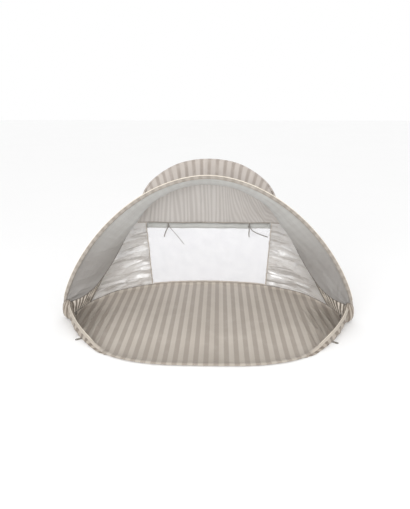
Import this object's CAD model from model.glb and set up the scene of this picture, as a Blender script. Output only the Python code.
"""A low shelter of striped cloth on four wire hoops, open at the front.

Frame: +X right, +Y rear, +Z up, ground at z = 0. Two arches and two floor hoops meet near a
crossing line at each side. Shapes are in millimetres and become metres when an object is made.
"""

import math

import bpy
import numpy as np
from mathutils import Matrix, Vector


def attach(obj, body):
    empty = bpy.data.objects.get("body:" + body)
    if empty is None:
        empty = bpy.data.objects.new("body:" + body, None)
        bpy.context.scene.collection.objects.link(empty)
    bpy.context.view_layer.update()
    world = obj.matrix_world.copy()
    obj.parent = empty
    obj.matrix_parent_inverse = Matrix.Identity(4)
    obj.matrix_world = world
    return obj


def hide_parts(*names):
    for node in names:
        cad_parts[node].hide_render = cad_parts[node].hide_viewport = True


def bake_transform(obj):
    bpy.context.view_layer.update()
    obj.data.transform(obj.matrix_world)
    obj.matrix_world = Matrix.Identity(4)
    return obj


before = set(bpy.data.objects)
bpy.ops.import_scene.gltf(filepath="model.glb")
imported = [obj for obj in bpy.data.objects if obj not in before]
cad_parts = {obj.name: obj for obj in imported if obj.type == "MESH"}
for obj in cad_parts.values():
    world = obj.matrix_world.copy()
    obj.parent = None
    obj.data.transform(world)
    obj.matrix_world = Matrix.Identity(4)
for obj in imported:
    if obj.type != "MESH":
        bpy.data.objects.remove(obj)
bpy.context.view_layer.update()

# ----------------------------------------------------------------------------
# Driving sizes and measured curves
# ----------------------------------------------------------------------------
CROSS_Z, CROSS_X = 100.0, 1006.0    # height and half width of the crossing line
HOOP_STEP = 8.0                     # sideways step between hoops at the crossing
ARCH_HEIGHT, ARCH_LEAN = 907.0, math.radians(2.3)
ARCH_POWER_X, ARCH_POWER_Z = 1.88, 1.42   # exponents of the front arch's superellipse
CANOPY_SAG = 108.0
HEAD_Z, HEAD_RISE = 577.0, 55.0     # window header: middle height, rise towards its ends
HEAD_HALF = 567.0                   # half width over which the header rises
ROLL_RADIUS = 17.0
ROLL_DEPTH, ROLL_HEIGHT = ROLL_RADIUS * .86, ROLL_RADIUS * 1.10   # half sizes
FLOOR_PITCH, ARCH_PITCH = 62.0, 55.0      # stripe spacing

# Places on the rear arch, as spline parameters from the right end (0) to the left (28).
T_END = 28
WINDOW_T, GUSSET_T, TIE_T = 9.2, 4.0, 11.1

# Right halves of the hoops, from the crossing line to the middle: x, y, z.
REAR_ARCH_HALF = np.array([
    [CROSS_X - 1.25 * HOOP_STEP, 0, CROSS_Z], [972, 42, 110], [905, 85, 134], [828, 128, 192],
    [762, 170, 275], [700, 208, 370], [642, 250, 475], [590, 284, 575], [546, 312, 665],
    [500, 337, 765], [440, 368, 880], [355, 388, 958], [240, 405, 1024], [120, 413, 1057],
    [0, 416, 1066]], float)
REAR_FLOOR_HALF = np.array([
    [CROSS_X, 0, CROSS_Z], [1006, -3, 60], [998, 6, 26], [976, 52, 9.5], [942, 150, 9],
    [905, 250, 9], [850, 340, 9], [765, 460, 9], [650, 545, 9], [500, 622, 9], [330, 668, 9],
    [165, 690, 9], [0, 697, 9]], float)
FRONT_FLOOR_HALF = np.array([
    [CROSS_X - 3 * HOOP_STEP, 0, CROSS_Z], [972, -42, 100], [938, -120, 90], [898, -190, 80],
    [856, -262, 74], [805, -330, 61], [745, -395, 41], [680, -458, 20], [600, -520, 9],
    [500, -572, 9], [380, -608, 9], [255, -626, 9], [128, -631, 9], [0, -632, 9]], float)
# Where the floor cloth meets the ground, right half, from corner to middle: x, y, z.
GROUND_HALF = np.array([
    [956, 62, 0], [944, -2, 0], [938, -50, 0], [922, -115, 0], [890, -195, 0], [840, -285, 0],
    [793, -350, 0], [722, -438, 0], [655, -503, 0], [590, -530, 0], [500, -571, 0],
    [380, -607, 0], [255, -625, 0], [128, -630, 0], [0, -631, 0]], float)
# Facing places of the rear wall: rear arch parameter, rear floor hoop parameter.
PAIRS = np.array([
    [0, .6], [1, 2.3], [2, 3.5], [4, 4.95], [6, 7.2], [9, 9.05], [14, 12], [19, 14.95],
    [22, 16.8], [24, 19.05], [26, 20.5], [27, 21.7], [28, 23.4]], float)
# Corner pouch stations: z, centre x, centre y, half width in x, half width in y.
POUCH = np.array([
    [1.5, 968, -10, 20, 24], [7, 974, -8, 31, 31], [20, 983, -5, 37, 35],
    [42, 992, -2, 36.5, 36.5], [68, 996, 0, 34, 36.5], [92, 997, 0, 30.5, 35],
    [112, 996, 0, 26, 30], [126, 994, 1, 19, 22], [133, 992, 2, 8, 10]], float)


# ----------------------------------------------------------------------------
# Curves and vectors
# ----------------------------------------------------------------------------
def unit(v):
    return v / np.maximum(np.linalg.norm(v, axis=-1, keepdims=True), 1e-9)


def square_to(v, tangent):
    """Unit vector along the part of v that is square to tangent."""
    return unit(v - (v * tangent).sum(-1, keepdims=True) * tangent)


def smooth(x, a, b):
    x = np.clip((np.asarray(x, float) - a) / (b - a), 0, 1)
    return x * x * (3 - 2 * x)


def hump(v, power=1.0):
    """0 at v = 0 and 1, and 1 half way."""
    return np.sin(math.pi * np.clip(v, 0, 1)) ** power


def bell(x, width):
    return np.exp(-(x / width) ** 2)


def fade(x, length):
    return np.exp(-x / length)


def signed_power(x, power):
    return np.sign(x) * np.abs(x) ** power


def lengths(points):
    """Running length along the first axis."""
    steps = np.linalg.norm(np.diff(points, axis=0), axis=-1)
    return np.concatenate([np.zeros((1,) + points.shape[1:-1]), np.cumsum(steps, 0)])


def interp_points(at, stations, points):
    return np.stack([np.interp(at, stations, points[:, k]) for k in range(3)], -1)


def spline(points, t):
    """Catmull-Rom curve; t counts points."""
    t = np.asarray(t, float)
    last = len(points) - 2
    ends = 2 * points[0] - points[1], 2 * points[-1] - points[-2]
    padded = np.vstack([ends[0], points, ends[1]])
    i = np.clip(np.floor(t).astype(int), 0, last)
    u = (t - i)[..., None]
    a, b, c, d = (padded[i + k] for k in range(4))
    return .5 * (2 * b + (c - a) * u + (2 * a - 5 * b + 4 * c - d) * u * u
                 + (3 * b - a - 3 * c + d) * u ** 3)


class Path:
    """A curve looked up by length fraction; params is its own parameter at each sample."""

    def __init__(self, points, params=None):
        run = lengths(points)
        self.points, self.params = points, params
        self.length, self.fractions = run[-1], run / run[-1]

    def at(self, fraction):
        return interp_points(fraction, self.fractions, self.points)

    def param_at(self, fraction):
        return np.interp(fraction, self.fractions, self.params)

    def fraction_at(self, param):
        return np.interp(param, self.params, self.fractions)


def mirrored(half):
    """Whole hoop, right end to left end, from its right half."""
    return np.vstack([half, half[:-1][::-1] * [-1, 1, 1]])


def spline_path(points, steps=40):
    params = np.linspace(0, len(points) - 1, (len(points) - 1) * steps + 1)
    return Path(spline(points, params), params)


def front_arch_path():
    angle = np.radians(np.linspace(0, 180, 2001))
    height = ARCH_HEIGHT * np.sin(angle) ** (2 / ARCH_POWER_Z)
    x = (CROSS_X + HOOP_STEP) * signed_power(np.cos(angle), 2 / ARCH_POWER_X)
    return Path(np.stack([x, height * np.sin(ARCH_LEAN),
                          CROSS_Z + height * np.cos(ARCH_LEAN)], -1))


REAR_ARCH, REAR_FLOOR, FRONT_FLOOR = map(
    mirrored, (REAR_ARCH_HALF, REAR_FLOOR_HALF, FRONT_FLOOR_HALF))
REAR_ARCH_PATH, REAR_FLOOR_PATH, FRONT_FLOOR_PATH = map(
    spline_path, (REAR_ARCH, REAR_FLOOR, FRONT_FLOOR))
FRONT_ARCH_PATH = front_arch_path()


def outward(points, flat):
    """Direction away from the middle: level if flat, otherwise from the crossing height."""
    out = points.copy()
    out[..., 2] = 0 if flat else points[..., 2] - CROSS_Z
    return out


def frames(points, flat):
    """Tangent, outward normal and third direction along a line of points."""
    tangent = unit(np.gradient(points, axis=0))
    normal = square_to(outward(points, flat), tangent)
    return tangent, normal, np.cross(tangent, normal)


def curve_tangent(points, t):
    return unit(spline(points, t + .01) - spline(points, t - .01))


# ----------------------------------------------------------------------------
# Smooth repeatable noise
# ----------------------------------------------------------------------------
def hashed(ix, iy, seed):
    n = (ix * 374761393 + iy * 668265263 + seed * 974711) & 0xFFFFFFFF
    n = ((n ^ (n >> 13)) * 127412617) & 0xFFFFFFFF
    n = n ^ (n >> 16)
    return (n & 0xFFFF) / 32767.5 - 1.0


def noise(x, y, seed):
    x, y = np.broadcast_arrays(np.asarray(x, float), np.asarray(y, float))
    ix, iy = np.floor(x).astype(np.int64), np.floor(y).astype(np.int64)
    u, v = (d * d * d * (d * (d * 6 - 15) + 10) for d in (x - ix, y - iy))
    a, b = hashed(ix, iy, seed), hashed(ix + 1, iy, seed)
    c, d = hashed(ix, iy + 1, seed), hashed(ix + 1, iy + 1, seed)
    return (a * (1 - u) + b * u) * (1 - v) + (c * (1 - u) + d * u) * v


def ridge(x, y, seed):
    """Fold-like noise: rounded valleys and narrow crests."""
    return 1 - 2 * np.abs(noise(x, y, seed)) ** .7


# ----------------------------------------------------------------------------
# Mesh pieces: dicts of arrays that can be merged, then made into one object
# ----------------------------------------------------------------------------
def piece(verts, faces, slots=None, stripe=None, uv=None, weight=None, flat=None):
    """slots: material of each face. weight: share of the second body at each vertex."""
    n = len(verts)
    return {"verts": np.asarray(verts, float), "faces": list(faces),
            "slots": [0] * len(faces) if slots is None else list(slots),
            "stripe": np.zeros(n) if stripe is None else np.ravel(stripe),
            "uv": np.zeros((n, 2)) if uv is None else np.reshape(uv, (-1, 2)),
            "weight": np.zeros(n) if weight is None else np.ravel(weight),
            "flat": [False] * len(faces) if flat is None else list(flat)}


def merge(*pieces):
    starts = np.cumsum([0] + [len(p["verts"]) for p in pieces])
    out = {"faces": [[i + int(start) for i in face]
                     for p, start in zip(pieces, starts) for face in p["faces"]]}
    for key in ("slots", "flat"):
        out[key] = [value for p in pieces for value in p[key]]
    for key in ("verts", "stripe", "uv", "weight"):
        out[key] = np.concatenate([p[key] for p in pieces])
    return out


def add(name, body, materials, moves_with, replaces=None):
    """Make an object. It rides one frame body, or blends by weight between a pair of them."""
    mesh = bpy.data.meshes.new(name)
    mesh.from_pydata((body["verts"] / 1000).tolist(), [], body["faces"])
    mesh.polygons.foreach_set("material_index", body["slots"])
    mesh.polygons.foreach_set("use_smooth", [not f for f in body["flat"]])
    stripe = mesh.attributes.new("stripe", "FLOAT", "POINT")
    stripe.data.foreach_set("value", body["stripe"].astype(np.float32))
    layer = mesh.uv_layers.new(name="UVMap")
    corners = np.zeros(len(mesh.loops), np.int32)
    mesh.loops.foreach_get("vertex_index", corners)
    layer.data.foreach_set("uv", body["uv"][corners].astype(np.float32).ravel())
    for material in materials:
        mesh.materials.append(material)
    mesh.update()
    ob = bpy.data.objects.new(name, mesh)
    bpy.context.scene.collection.objects.link(ob)
    if isinstance(moves_with, str):
        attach(ob, moves_with)
    else:
        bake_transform(ob)
    replaces = (name,) if replaces is None else replaces
    if replaces:
        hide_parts(*replaces)


def grid_normal(grid):
    return unit(np.cross(np.gradient(grid, axis=0), np.gradient(grid, axis=1)))


def shell(grid, thick, stripe=None, uv=None, weight=None, slots=(0, 1, 0)):
    """Closed thin sheet over a grid. The front is the side cross(d/di, d/dj) points to.

    slots: materials of front, back and rim.
    """
    n, m = grid.shape[:2]
    back = n * m
    half = grid_normal(grid) * thick / 2
    verts = np.concatenate([(grid + half).reshape(-1, 3), (grid - half).reshape(-1, 3)])
    row, column = np.arange(n - 1) * m, np.arange(m - 1)
    a = (row[:, None] + column).ravel()
    b, c, d = a + 1, a + m, a + m + 1
    faces = np.stack([a, c, d, b], 1).tolist()
    faces += np.stack([a + back, b + back, d + back, c + back], 1).tolist()
    rim = []
    for k, step, turned in ((row, m, True), (row + m - 1, m, False),
                            (column, 1, False), (column + (n - 1) * m, 1, True)):
        quad = np.stack([k, k + step, k + step + back, k + back], 1)
        rim += (quad[:, [0, 3, 2, 1]] if turned else quad).tolist()
    count = len(a)
    return piece(verts, faces + rim,
                 [slots[0]] * count + [slots[1]] * count + [slots[2]] * len(rim),
                 None if stripe is None else np.tile(np.ravel(stripe), 2),
                 None if uv is None else np.tile(np.reshape(uv, (-1, 2)), (2, 1)),
                 None if weight is None else np.tile(np.ravel(weight), 2),
                 [False] * 2 * count + [True] * len(rim))


def ring_faces(n, around):
    """Faces joining n rings, closed by fans to two end vertices that follow the rings."""
    i, j = np.meshgrid(np.arange(n - 1) * around, np.arange(around), indexing="ij")
    i, j = i.ravel(), j.ravel()
    q = (j + 1) % around
    faces = np.stack([i + j, i + q, i + around + q, i + around + j], 1).tolist()
    j = np.arange(around)
    q = (j + 1) % around
    tip, last = np.full(around, n * around), (n - 1) * around
    return faces + np.stack([tip, q, j], 1).tolist() + np.stack([tip + 1, last + j, last + q],
                                                                1).tolist()


def tube(points, side_a, side_b, half_a, half_b, around, power=2.0, stripe=None, weight=None,
         slot=0, cap_in=0.0, shape=None):
    """Closed tube with half widths along side_a and side_b.

    shape(station, angle) scales the radius; cap_in moves the end centres inwards.
    """
    n = len(points)
    angle = np.arange(around) * 2 * math.pi / around
    c, s = signed_power(np.cos(angle), 2 / power), signed_power(np.sin(angle), 2 / power)
    half_a, half_b = (np.broadcast_to(np.asarray(h, float), (n,))[:, None]
                      for h in (half_a, half_b))
    scale = 1.0 if shape is None else shape(np.arange(n)[:, None], angle[None])
    verts = (points[:, None] + side_a[:, None] * (half_a * c * scale)[..., None]
             + side_b[:, None] * (half_b * s * scale)[..., None]).reshape(-1, 3)
    tangent = unit(np.gradient(points, axis=0))
    verts = np.vstack([verts, points[0] + tangent[0] * cap_in, points[-1] - tangent[-1] * cap_in])
    run = lengths(points)[:, None] / 1000
    uv = np.stack(np.broadcast_arrays(run, angle[None] * float(np.mean(half_a)) / 1000), -1)
    uv = uv.reshape(-1, 2)
    uv = np.vstack([uv, uv[0], uv[-1]])

    def spread(x):
        return None if x is None else np.concatenate([np.repeat(x, around), [x[0], x[-1]]])

    faces = ring_faces(n, around)
    return piece(verts, faces, [slot] * len(faces), spread(stripe), uv, spread(weight))


def lumps(along, amount, seed):
    """Uneven radius for a tube; along holds a noise place for each station."""
    return lambda i, angle: 1 + amount * noise(along[i], angle, seed)


# Cross sections of one stitch: share of its length, height in radii, relative width.
STITCH = ((0, -.2, .45), (.18, .9, 1), (.5, 1.15, 1), (.82, .9, 1), (1, -.2, .45))


def stitches(points, up, step, along=None, length=4.2, radius=.45, lift=.35, weight=None):
    """A row of short low bars along points, raised along up, in material slot 1."""
    side = np.cross(unit(np.gradient(points, axis=0)) if along is None else along, up)
    run = lengths(points)
    count = max(int(run[-1] / step), 1)
    start = (np.arange(count) + .5) * step - length / 2
    sections, weights = [], []
    for share, height, width in STITCH:
        at = start + share * length
        centre = interp_points(at, run, points)
        rise, across = unit(interp_points(at, run, up)), unit(interp_points(at, run, side))
        base = height * radius + lift
        low, half = centre + rise * (base - radius * .6), across * radius * width
        sections.append(np.stack([low + half, centre + rise * (base + radius * .5),
                                  low - half], 1))
        if weight is not None:
            weights.append(np.repeat(np.interp(at, run, weight)[:, None], 3, 1))
    patterns = [[k + j, k + (j + 1) % 3, k + 3 + (j + 1) % 3, k + 3 + j]
                for k in (0, 3, 6, 9) for j in range(3)] + [[2, 1, 0], [12, 13, 14]]
    first = np.arange(count)[:, None] * 15
    faces = [face for pattern in patterns for face in (first + pattern).tolist()]
    return piece(np.stack(sections, 1).reshape(-1, 3), faces, [1] * len(faces),
                 weight=None if weight is None else np.stack(weights, 1))


# ----------------------------------------------------------------------------
# Materials
# ----------------------------------------------------------------------------
def srgb(*rgb):
    """Linear RGBA from 0-255 display values."""
    rgb = [c / 255 for c in rgb]
    return tuple(c / 12.92 if c <= .04045 else ((c + .055) / 1.055) ** 2.4 for c in rgb) + (1.0,)


class Shader:
    """Node tree of one material. Each method adds nodes and returns an output socket."""

    def __init__(self, name):
        self.material = bpy.data.materials.new(name)
        self.material.use_nodes = True
        self.tree = self.material.node_tree
        self.tree.nodes.clear()
        self.output = self.node("ShaderNodeOutputMaterial")

    def node(self, kind, inputs=(), **props):
        node = self.tree.nodes.new(kind)
        for key, value in props.items():
            setattr(node, key, value)
        for key, value in dict(inputs).items():
            self.put(node.inputs[key], value)
        return node

    def put(self, socket, value):
        if isinstance(value, bpy.types.NodeSocket):
            self.tree.links.new(value, socket)
        else:
            socket.default_value = value

    def math(self, operation, a, b=0.0, c=0.0, clamp=False):
        return self.node("ShaderNodeMath", {0: a, 1: b, 2: c}, operation=operation,
                         use_clamp=clamp).outputs[0]

    def mix(self, factor, a, b):
        node = self.node("ShaderNodeMix", data_type="RGBA", blend_type="MIX")
        self.put(node.inputs["Factor"], factor)
        for socket, value in zip([s for s in node.inputs if s.type == "RGBA"], (a, b)):
            self.put(socket, value)
        return [s for s in node.outputs if s.type == "RGBA"][0]

    def ramp(self, by, start, end, least=0.0, most=1.0):
        return self.node("ShaderNodeMapRange", {
            "Value": by, "From Min": start, "From Max": end, "To Min": least, "To Max": most},
            interpolation_type="SMOOTHSTEP").outputs[0]

    def tint(self, colour, towards, by, start, end, least=0.0, most=1.0):
        """Shift colour towards another as by goes from start to end."""
        return self.mix(self.ramp(by, start, end, least, most), colour, towards)

    def noise(self, place, scale, detail=2.0, rough=.5, distort=0.0):
        return self.node("ShaderNodeTexNoise", {
            "Vector": place, "Scale": scale, "Detail": detail, "Roughness": rough,
            "Distortion": distort}).outputs["Fac"]

    def bump(self, height, strength, depth, over=None):
        inputs = {"Strength": strength, "Distance": depth, "Height": height}
        if over is not None:
            inputs["Normal"] = over
        return self.node("ShaderNodeBump", inputs).outputs[0]

    def uv(self):
        return self.node("ShaderNodeUVMap", uv_map="UVMap").outputs[0]

    def object_place(self):
        return self.node("ShaderNodeTexCoord").outputs["Object"]

    def separate(self, vector):
        return self.node("ShaderNodeSeparateXYZ", {0: vector}).outputs

    def scaled(self, vector, scale):
        return self.node("ShaderNodeMapping", {"Vector": vector, "Scale": scale}).outputs[0]

    def weave(self, uv, pitch):
        """Plain weave height from two crossed waves with a pitch in metres."""
        x, y = self.separate(uv)[:2]
        turn = 2 * math.pi / pitch
        waves = [self.math("SINE", self.math("MULTIPLY", s, turn)) for s in (x, y)]
        return self.math("ABSOLUTE", self.math("MULTIPLY", *waves))

    def stripes(self, blur, share, wobble=.015):
        """1 on the dark stripes, 0 on the light; and the wandering stripe coordinate."""
        place = self.node("ShaderNodeAttribute", attribute_name="stripe").outputs["Fac"]
        wander = self.math("SUBTRACT", self.noise(self.uv(), scale=60.0), .5)
        place = self.math("ADD", place, self.math("MULTIPLY", wander, wobble * 2))
        offset = self.math("ABSOLUTE", self.math("SUBTRACT", self.math("FRACT", place), .5))
        mask = self.ramp(offset, share - blur / 2, share + blur / 2, least=1.0, most=0.0)
        return mask, place

    def surface(self, base, rough, normal=None, metallic=0.0, sheen=0.0,
                sheen_tint=(1, 1, 1, 1), specular=.35, glow=None, glow_share=0.0):
        """Principled surface, mixed with translucent cloth of colour glow if one is given."""
        inputs = {"Base Color": base, "Roughness": rough, "Metallic": metallic,
                  "Specular IOR Level": specular, "Sheen Weight": sheen,
                  "Sheen Tint": sheen_tint}
        if normal is not None:
            inputs["Normal"] = normal
        out = self.node("ShaderNodeBsdfPrincipled", inputs).outputs[0]
        if glow is not None:
            thin = self.node("ShaderNodeBsdfTranslucent", {"Color": glow}).outputs[0]
            out = self.node("ShaderNodeMixShader", {0: glow_share, 1: out, 2: thin}).outputs[0]
        return self.finish(out)

    def finish(self, out):
        self.tree.links.new(out, self.output.inputs[0])
        return self.material


def striped(name, dark, light, pale, blur, share=.25, relief=1.0, glow=0.0, wash=0.0,
            dirty_corners=False):
    """Striped cloth. share is half the dark part of a pitch; wash fades stripes in patches."""
    g = Shader(name)
    uv = g.uv()
    dark, light, pale = srgb(*dark), srgb(*light), srgb(*pale)
    mask, place = g.stripes(blur, share)
    world_place = g.object_place()
    # Light stripes differ a little from one to the next.
    step = g.math("FLOOR", g.math("ADD", place, 0.0))
    scramble = g.math("SINE", g.math("MULTIPLY", step, 12.99))
    random = g.math("FRACT", g.math("MULTIPLY", scramble, 43.7))
    light = g.mix(g.math("MULTIPLY", random, .6), light, pale)
    colour = g.mix(mask, light, dark)
    # Yarn flecks, soiling and fading.
    yarn = g.noise(uv, scale=900.0, rough=.6)
    colour = g.tint(colour, (.16, .14, .12, 1), yarn, start=.35, end=.75, most=.10)
    soil = g.noise(world_place, scale=3.2, detail=4.0, rough=.55)
    colour = g.tint(colour, (.20, .17, .14, 1), soil, start=.38, end=.72, most=.10)
    faded = g.noise(world_place, scale=9.0, detail=3.0)
    colour = g.tint(colour, (.78, .74, .68, 1), faded, start=.45, end=.8, most=.10)
    if wash:
        patches = g.noise(uv, scale=13.0, detail=3.0, rough=.6, distort=.5)
        between = g.mix(.62, dark, light)
        colour = g.tint(colour, between, patches, start=.42, end=.66, most=wash)
    if dirty_corners:
        x, y = g.separate(uv)[:2]
        outer = g.ramp(g.math("ABSOLUTE", x), start=.52, end=.90)
        front = g.ramp(y, start=.36, end=-.02)
        dirt = g.math("MULTIPLY", g.math("MULTIPLY", outer, front), .46)
        colour = g.mix(dirt, colour, srgb(98, 90, 80))
        colour = g.tint(colour, srgb(130, 121, 111), y, start=-.28, end=-.60, most=.36)
    creases = g.noise(uv, scale=22.0, detail=3.0, rough=.55, distort=.6)
    normal = g.bump(creases, strength=.35 * relief, depth=.004)
    normal = g.bump(g.noise(uv, scale=95.0), strength=.22 * relief, depth=.0012, over=normal)
    normal = g.bump(g.weave(uv, pitch=.0016), strength=.35, depth=.0003, over=normal)
    rough = g.ramp(yarn, start=.3, end=.7, least=.72, most=.86)
    return g.surface(colour, rough, normal, sheen=.18, sheen_tint=(.95, .93, .9, 1),
                     specular=.25, glow=light if glow else None, glow_share=glow)


def silver(name, base, shade, show=.05, rough=.48, metallic=.12, relief=1.0, glow=.10,
           dusty_ends=None, gathered_top=None):
    """Coated lining; show is how far the stripes show through.

    dusty_ends colours the far left and right ends and turns the streaks lengthwise.
    gathered_top colours the upper part and adds level dark creases.
    """
    g = Shader(name)
    uv, place = g.uv(), g.object_place()
    base, shade = srgb(*base), srgb(*shade)
    mask, _ = g.stripes(blur=.3, share=.25, wobble=.05)
    colour = g.mix(g.math("MULTIPLY", mask, show), base, shade)
    if dusty_ends:
        far = g.math("ABSOLUTE", g.separate(uv)[0])
        colour = g.tint(colour, srgb(*dusty_ends), far, start=.45, end=1.15, most=.9)
    mottle = g.noise(place, scale=5.0, detail=3.0)
    colour = g.tint(colour, shade, mottle, start=.35, end=.7, most=.22)
    if gathered_top:
        colour = g.tint(colour, srgb(*gathered_top), g.separate(uv)[1], start=.40, end=.10)
        level = g.scaled(place, (3.2, 3.2, 24.0))
        broad = g.noise(level, scale=1.0, detail=3.0, rough=.62, distort=.5)
        colour = g.tint(colour, srgb(158, 153, 148), broad, start=.47, end=.36, most=.50)
        fine = g.noise(level, scale=2.3, rough=.6, distort=.8)
        colour = g.tint(colour, srgb(176, 168, 160), fine, start=.56, end=.66, most=.35)
    if dusty_ends:
        stretch, scale, most = (.05, 1.0, 1.0), 46.0, .42
        streak_colour = g.mix(.55, shade, srgb(150, 146, 142))
    else:
        stretch, scale, most = (1.0, .12, 1.0), 160.0, .07
        streak_colour = srgb(190, 178, 166)
    streaks = g.noise(g.scaled(uv, stretch), scale=scale, detail=3.0, rough=.6)
    colour = g.tint(colour, streak_colour, streaks, start=.4, end=.70, most=most)
    fleck = g.noise(uv, scale=700.0, detail=1.0)
    colour = g.tint(colour, shade, fleck, start=.55, end=.8, most=.10)
    creases = g.noise(uv, scale=26.0, detail=3.0, rough=.6, distort=.8)
    normal = g.bump(creases, strength=.4 * relief, depth=.004)
    normal = g.bump(g.noise(uv, scale=120.0), strength=.25 * relief, depth=.001, over=normal)
    normal = g.bump(g.weave(uv, pitch=.0012), strength=.3, depth=.00025, over=normal)
    roughness = g.ramp(fleck, start=.3, end=.7, least=rough - .06, most=rough + .08)
    return g.surface(colour, roughness, normal, metallic=metallic, sheen=.08, specular=.45,
                     glow=srgb(215, 208, 198), glow_share=glow)


def netting(name, pitch=.0022):
    """Diagonal net: translucent threads with clear holes."""
    g = Shader(name)
    uv = g.uv()
    x, y = g.separate(uv)[:2]
    turn = 2 * math.pi / pitch
    waves = [g.math("ABSOLUTE", g.math("SINE", g.math("MULTIPLY", g.math(way, x, y), turn)))
             for way in ("ADD", "SUBTRACT")]
    net = g.math("MAXIMUM", *waves)
    hole = g.ramp(net, start=.72, end=.9, least=1.0, most=0.0)
    colour = g.tint(srgb(243, 243, 246), srgb(232, 232, 236), g.noise(uv, scale=14.0),
                    start=.35, end=.7)
    cloth = g.node("ShaderNodeBsdfPrincipled", {
        "Base Color": colour, "Roughness": .7, "Sheen Weight": .3,
        "Normal": g.bump(net, strength=.4, depth=.0004)}).outputs[0]
    thin = g.node("ShaderNodeBsdfTranslucent", {0: srgb(248, 248, 250)}).outputs[0]
    thread = g.node("ShaderNodeMixShader", {0: .5, 1: cloth, 2: thin}).outputs[0]
    clear = g.node("ShaderNodeBsdfTransparent").outputs[0]
    # Clearness is .28 on the threads and .83 in the holes.
    clearness = g.math("MULTIPLY_ADD", hole, .55, .28, clamp=True)
    return g.finish(g.node("ShaderNodeMixShader", {0: clearness, 1: thread, 2: clear}).outputs[0])


def tape(name, base, dark, pitch, rough=.8):
    """Narrow woven tape or webbing with ribs across it, at a pitch in metres."""
    g = Shader(name)
    uv = g.uv()
    base, dark = srgb(*base), srgb(*dark)
    wave = g.math("SINE", g.math("MULTIPLY", g.separate(uv)[0], math.pi / pitch))
    rib = g.math("ABSOLUTE", wave)
    colour = g.tint(base, dark, rib, start=0.0, end=.6, least=.45, most=0.0)
    tone = g.noise(uv, scale=35.0, detail=3.0)
    colour = g.tint(colour, dark, tone, start=.35, end=.75, most=.25)
    fuzz = g.noise(uv, scale=1500.0, detail=1.0)
    normal = g.bump(rib, strength=.5, depth=.0004)
    normal = g.bump(fuzz, strength=.25, depth=.0002, over=normal)
    normal = g.bump(g.noise(uv, scale=60.0), strength=.3, depth=.0012, over=normal)
    roughness = g.ramp(fuzz, start=.3, end=.7, least=rough - .08, most=rough + .08)
    return g.surface(colour, roughness, normal, sheen=.2, specular=.25)


def metal(name, base, worn, rough):
    g = Shader(name)
    place = g.object_place()
    scratches = g.noise(g.scaled(place, (.15, 1.0, 1.0)), scale=420.0, detail=3.0, rough=.6)
    spots = g.noise(place, scale=90.0, detail=3.0, rough=.6)
    colour = g.tint(srgb(*base), srgb(*worn), spots, start=.5, end=.75, most=.5)
    normal = g.bump(scratches, strength=.15, depth=.0002)
    roughness = g.ramp(scratches, start=.3, end=.7, least=rough - .08, most=rough + .14)
    return g.surface(colour, roughness, normal, metallic=1.0, specular=.5)


# Striped cloths: dark, light and palest light stripe.
FLOOR = striped("floor_cloth", (170, 160, 150), (197, 188, 177), (202, 194, 184), blur=.10,
                dirty_corners=True)
CANOPY = striped("canopy_cloth", (174, 164, 156), (203, 195, 188), (213, 205, 198), blur=.20,
                 share=.21, glow=.12, wash=.5)
FRONT_RIM = striped("front_rim_cloth", (150, 141, 131), (174, 166, 156), (180, 172, 162),
                    blur=.12, relief=1.2)
RIM = striped("rim_cloth", (146, 138, 130), (170, 163, 155), (178, 171, 163), blur=.2,
              share=.23, relief=1.3)
EDGE = striped("edge_cloth", (142, 135, 127), (154, 147, 139), (160, 153, 145), blur=.3,
               share=.23, relief=1.3)
GUSSET = striped("gusset_cloth", (118, 109, 99), (228, 219, 207), (236, 227, 216), blur=.16,
                 share=.26, relief=1.6, glow=.05)
SKIRT = striped("skirt_cloth", (128, 118, 108), (168, 158, 146), (178, 169, 158), blur=.12,
                relief=1.4, glow=.05)
# Linings: base and shade.
LINING = silver("canopy_lining", (201, 202, 200), (174, 173, 171), show=.16,
                dusty_ends=(144, 140, 137))
SLEEVE_INSIDE = silver("sleeve_inside", (112, 107, 102), (92, 87, 82), rough=.7, metallic=.0,
                       glow=0.0)
UPPER_LINING = silver("upper_lining", (214, 211, 208), (180, 175, 171), show=.52, rough=.6,
                      metallic=.02, glow=.25)
SIDE_LINING = silver("side_lining", (247, 247, 247), (226, 224, 221), show=.02, rough=.36,
                     metallic=.25, relief=2.2, gathered_top=(220, 219, 218))
ROLL = silver("roll_lining", (180, 181, 178), (140, 140, 138), rough=.55, relief=1.6, glow=0.0)
UNDERSIDE = silver("floor_underside", (186, 183, 178), (160, 156, 150), show=.06, rough=.6,
                   metallic=.04, glow=0.0)
NET = netting("window_netting")
# Tapes: base and dark.
CREAM = tape("cream_piping", (224, 216, 202), (190, 180, 164), pitch=.0022)
BINDING = tape("binding_tape", (190, 181, 169), (156, 146, 134), pitch=.0022)
TAUPE = tape("taupe_tape", (184, 175, 166), (146, 137, 128), pitch=.0020)
PALE = tape("pale_tape", (204, 196, 187), (168, 159, 150), pitch=.0020)
SEAM = tape("seam_binding", (122, 117, 111), (84, 79, 74), pitch=.0020)
WEBBING = tape("dark_webbing", (148, 142, 134), (104, 99, 93), pitch=.0024, rough=.85)
TIE = tape("tie_tape", (142, 138, 133), (104, 100, 96), pitch=.0022, rough=.85)
THREAD = tape("thread", (196, 188, 176), (150, 142, 130), pitch=.0012, rough=.7)
DARK_THREAD = tape("thread_dark", (120, 114, 107), (84, 78, 72), pitch=.0012, rough=.7)
# Metals: base and worn spots.
WIRE = metal("spring_wire", (150, 150, 150), (96, 88, 78), rough=.32)
FERRULE = metal("ferrule_metal", (176, 177, 178), (120, 118, 114), rough=.4)
EYELET = metal("eyelet_metal", (178, 176, 170), (120, 112, 100), rough=.25)


# ----------------------------------------------------------------------------
# Seam lines and the rear wall's surface. t is the rear arch parameter; v runs
# from the arch (0) to the floor (1).
# ----------------------------------------------------------------------------
def floor_stripe(x):
    return (x - 68.4) / FLOOR_PITCH + .5


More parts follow.
